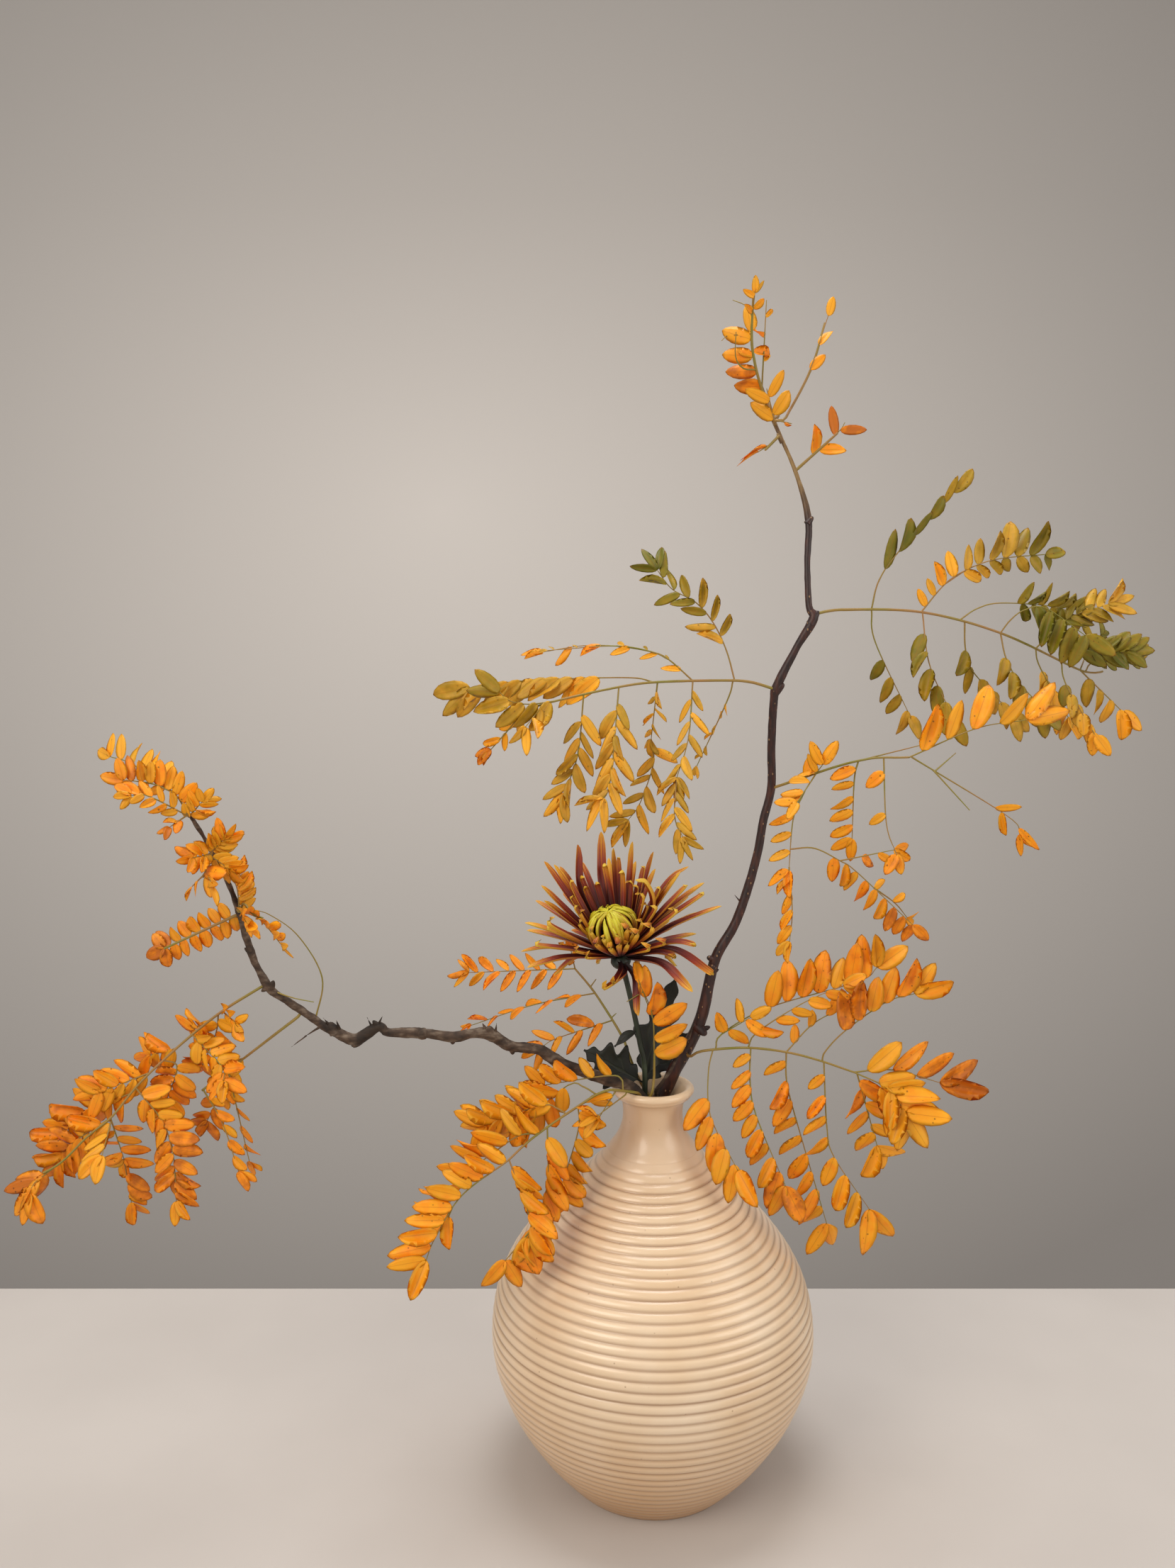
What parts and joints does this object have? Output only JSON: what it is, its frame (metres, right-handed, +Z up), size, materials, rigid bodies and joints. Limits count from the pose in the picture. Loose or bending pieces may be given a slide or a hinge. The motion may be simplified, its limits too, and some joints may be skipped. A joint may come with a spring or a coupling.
{
  "type": "ikebana arrangement",
  "caption": "Free-standing ikebana: a ribbed, long-necked stoneware bottle holding a tall and a low branch with golden compound leaves and a spider chrysanthemum.",
  "frame": {"origin": "centre of the bottle's foot, on the surface it stands on", "axes": "+Z up; -Y is the front; -X is the side that the long low branch reaches over"},
  "size_m": [0.7845, 0.2336, 0.8479],
  "materials": {
    "glazed_stoneware": "glossy cream glaze on turned stoneware",
    "dark_bark": "smooth red-brown bark with pale pores",
    "grey_bark": "rough grey-brown bark with knots",
    "olive_leaf": "thin satin leaf, olive turning orange",
    "gold_leaf": "thin satin leaf, olive above and gold below",
    "orange_leaf": "thin satin leaf, bright orange with brown specks",
    "flower_stem": "dark green stem",
    "petal": "satin petal, burgundy at the base and gold at the tip",
    "young_petal": "satin lime-yellow petal",
    "flower_leaf": "matt dark green leaf"
  },
  "bodies": {
    "root": {"bare_twig": "dark_bark", "left_branch": "grey_bark", "left_leaf_crumpled": "orange_leaf", "left_leaf_long": "orange_leaf", "left_leaf_low": "orange_leaf", "left_leaf_paired": "orange_leaf", "left_leaf_row": "orange_leaf", "left_leaf_tip": "orange_leaf", "mum_bract_leaf": "flower_leaf", "mum_heart": "young_petal", "mum_leaf_back": "flower_leaf", "mum_leaf_left": "flower_leaf", "mum_leaf_right": "flower_leaf", "mum_petals_inner": "petal", "mum_petals_lower": "petal", "mum_petals_middle": "petal", "mum_petals_outer": "petal", "mum_receptacle": "flower_stem", "mum_stem": "flower_stem", "neck_leaf_back": "orange_leaf", "neck_leaf_front": "orange_leaf", "neck_leaf_left": "orange_leaf", "tall_branch": "dark_bark", "tall_leaf_curled": "orange_leaf", "tall_leaf_high": "orange_leaf", "tall_leaf_left": "gold_leaf", "tall_leaf_low_right": "orange_leaf", "tall_leaf_middle": "orange_leaf", "tall_leaf_right": "olive_leaf", "tall_leaf_tip": "orange_leaf", "tall_leaf_tip_right": "orange_leaf", "vase": "glazed_stoneware"}
  },
  "joints": []
}
